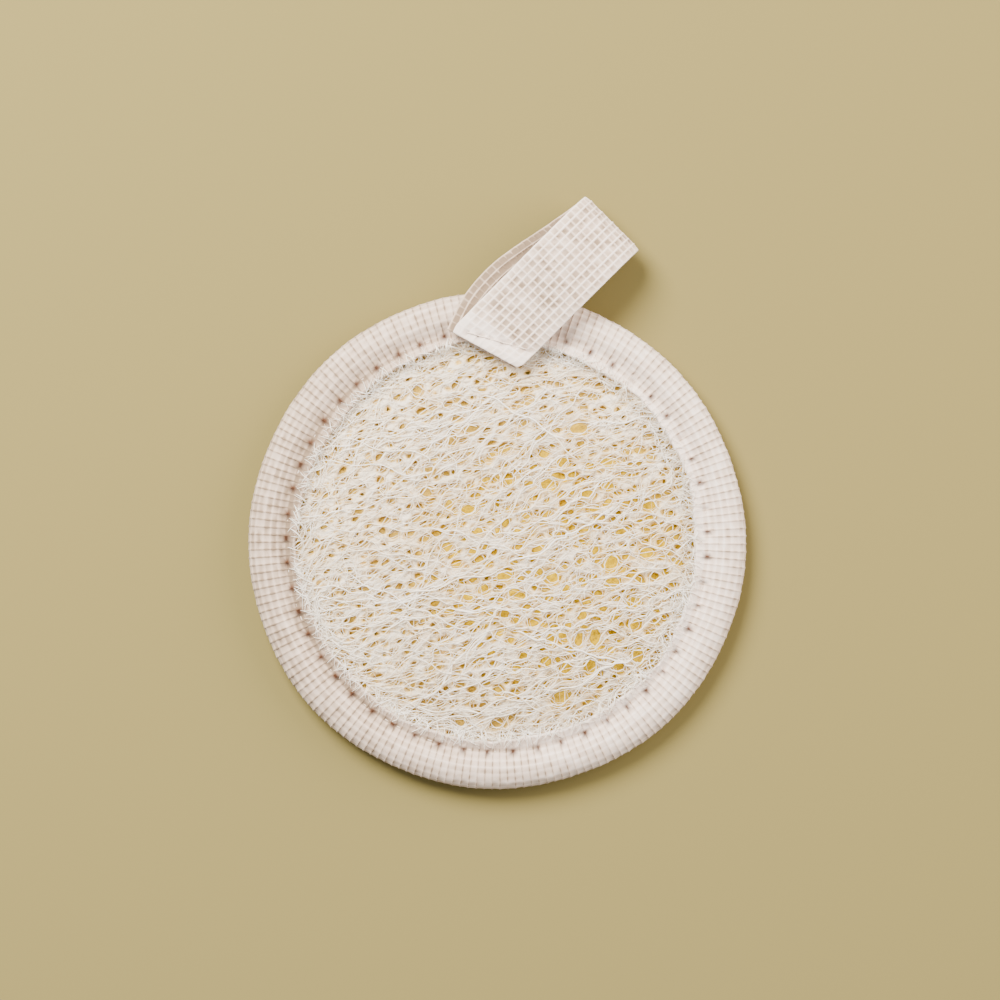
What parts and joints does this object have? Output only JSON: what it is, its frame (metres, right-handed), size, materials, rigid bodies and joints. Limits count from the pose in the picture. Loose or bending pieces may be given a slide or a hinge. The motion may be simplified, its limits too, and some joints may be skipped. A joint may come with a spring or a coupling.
{
  "type": "round loofah bath pad",
  "caption": "Round bath pad: a disc of loofah net over a yellow foam core and a cotton backing, bound with ribbed cotton tape, with a folded tape loop to hang it by.",
  "frame": {"origin": "middle of the back, on the surface that the pad lies on", "axes": "+Z out of the loofah face, +Y the way that the hanging loop points"},
  "size_m": [0.1, 0.1112, 0.0125],
  "materials": {
    "loofah": "dry, bleached plant fibre with a faint gloss",
    "foam": "matt yellow open-cell foam",
    "terry_cotton": "unbleached cotton terry",
    "cotton_tape": "unbleached ribbed cotton tape",
    "cotton_thread": "twisted cotton thread"
  },
  "bodies": {
    "root": {"loofah_net": "loofah", "sponge_core": "foam", "backing_cloth": "terry_cotton", "binding_tape": "cotton_tape", "hanging_loop": "cotton_tape", "needle_thread": "cotton_thread", "bobbin_thread": "cotton_thread", "loop_thread": "cotton_thread"}
  },
  "joints": []
}
